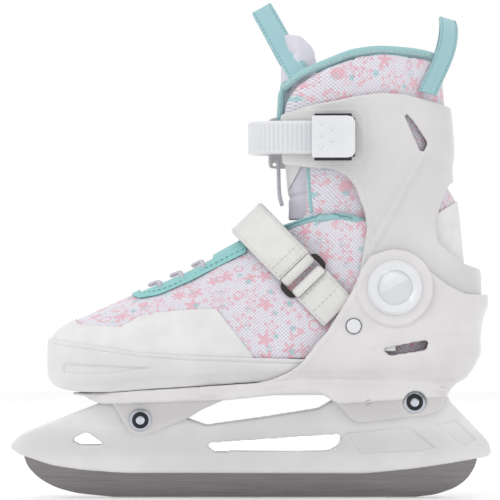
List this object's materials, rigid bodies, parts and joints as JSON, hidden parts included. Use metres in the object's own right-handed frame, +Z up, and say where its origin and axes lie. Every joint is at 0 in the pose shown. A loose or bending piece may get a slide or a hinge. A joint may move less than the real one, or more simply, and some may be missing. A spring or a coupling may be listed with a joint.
{
  "type": "ice skate",
  "caption": "Child's ice skate with a sliding toe shell, hinged cuff with ladder-strap buckle, instep strap, padded printed-mesh liner and a steel blade in a windowed plastic holder.",
  "frame": {"origin": "middle of the blade's running face", "axes": "toe towards -X, outer (buckle) side towards -Y, +Z up"},
  "size_m": [0.289, 0.1063, 0.2989],
  "materials": {
    "holder": "satin white",
    "shell": "satin white",
    "toe": "satin white",
    "cuff": "satin white",
    "trim_plastic": "gloss white",
    "mesh_fabric": "printed spacer mesh",
    "vinyl": "coated synthetic leather",
    "teal_tape": "woven tape",
    "padding": "foam under knitted cloth",
    "lace": "round cord",
    "blade": "ground",
    "fasteners": "polished",
    "buckle": "dark plated",
    "ring": "black",
    "spring": "sprung"
  },
  "bodies": {
    "chassis": {"chassis_shell": "shell", "blade_holder": "holder", "blade": "blade", "front_bolt": "fasteners", "front_nut": "fasteners", "front_washer_inner": "fasteners", "front_washer_outer": "fasteners", "rear_bolt": "fasteners", "rear_nut": "fasteners", "rear_washer_inner": "fasteners", "rear_washer_outer": "fasteners", "pivot_bolt_inner": "fasteners", "pivot_bolt_outer": "fasteners", "pivot_nut_inner": "fasteners", "pivot_nut_outer": "fasteners", "pivot_cap_inner": "trim_plastic", "pivot_cap_outer": "trim_plastic", "button_spring": "spring", "lower_liner": "mesh_fabric", "quarter_upper": "mesh_fabric", "footbed": "padding", "instep_strap": "vinyl", "ring_tab": "vinyl", "strap_ring": "ring"},
    "toe": {"toe_shell": "toe", "toe_upper": "mesh_fabric", "vamp_tongue": "vinyl", "size_rack": "toe", "lace_row_1": "lace", "lace_row_2": "lace", "lace_row_3": "lace"},
    "cuff": {"cuff": "cuff", "upper_liner": "mesh_fabric", "tongue": "padding", "collar_binding": "teal_tape", "front_pull_loop": "teal_tape", "rear_pull_loop": "teal_tape", "strap_anchor": "trim_plastic", "anchor_rivet": "fasteners", "buckle_base": "buckle", "lever_pin": "fasteners", "pawl_pin": "fasteners", "lace_end": "lace"},
    "button": {"size_button": "trim_plastic"},
    "strap": {"ladder_strap": "trim_plastic"},
    "lever": {"buckle_lever": "trim_plastic"},
    "pawl": {"buckle_pawl": "buckle"},
    "flap": {"instep_flap": "vinyl"}
  },
  "joints": [
    {"name": "toe_slide", "type": "slide", "parent": "chassis", "child": "toe", "axis": [-1, 0, 0], "range_m": [0, 0.02]},
    {"name": "cuff_pivot", "type": "hinge", "parent": "chassis", "child": "cuff", "pos_m": [0.0868, 0, 0.1264], "axis": [0, -1, 0], "range_deg": [-4, 8]},
    {"name": "size_button", "type": "slide", "parent": "chassis", "child": "button", "axis": [0, 1, 0], "range_m": [0, 0.0012], "stiffness_N_per_m": 400, "deforming": ["button_spring"]},
    {"name": "strap_swing", "type": "hinge", "parent": "cuff", "child": "strap", "pos_m": [0.06, 0.04649, 0.216], "axis": [0, 0, -1], "range_deg": [0, 100]},
    {"name": "buckle_lever", "type": "hinge", "parent": "cuff", "child": "lever", "pos_m": [0.0399, -0.04972, 0.216], "axis": [0, 0, -1], "range_deg": [0, 75]},
    {"name": "buckle_pawl", "type": "hinge", "parent": "cuff", "child": "pawl", "pos_m": [0.0526, -0.05111, 0.216], "axis": [0, 0, 1], "range_deg": [0, 12], "stiffness_Nm_per_rad": 0.02},
    {"name": "instep_flap", "type": "hinge", "parent": "chassis", "child": "flap", "pos_m": [0.02826, -0.0386, 0.1373], "axis": [0.7188, 0, 0.6952], "range_deg": [0, 90]}
  ]
}
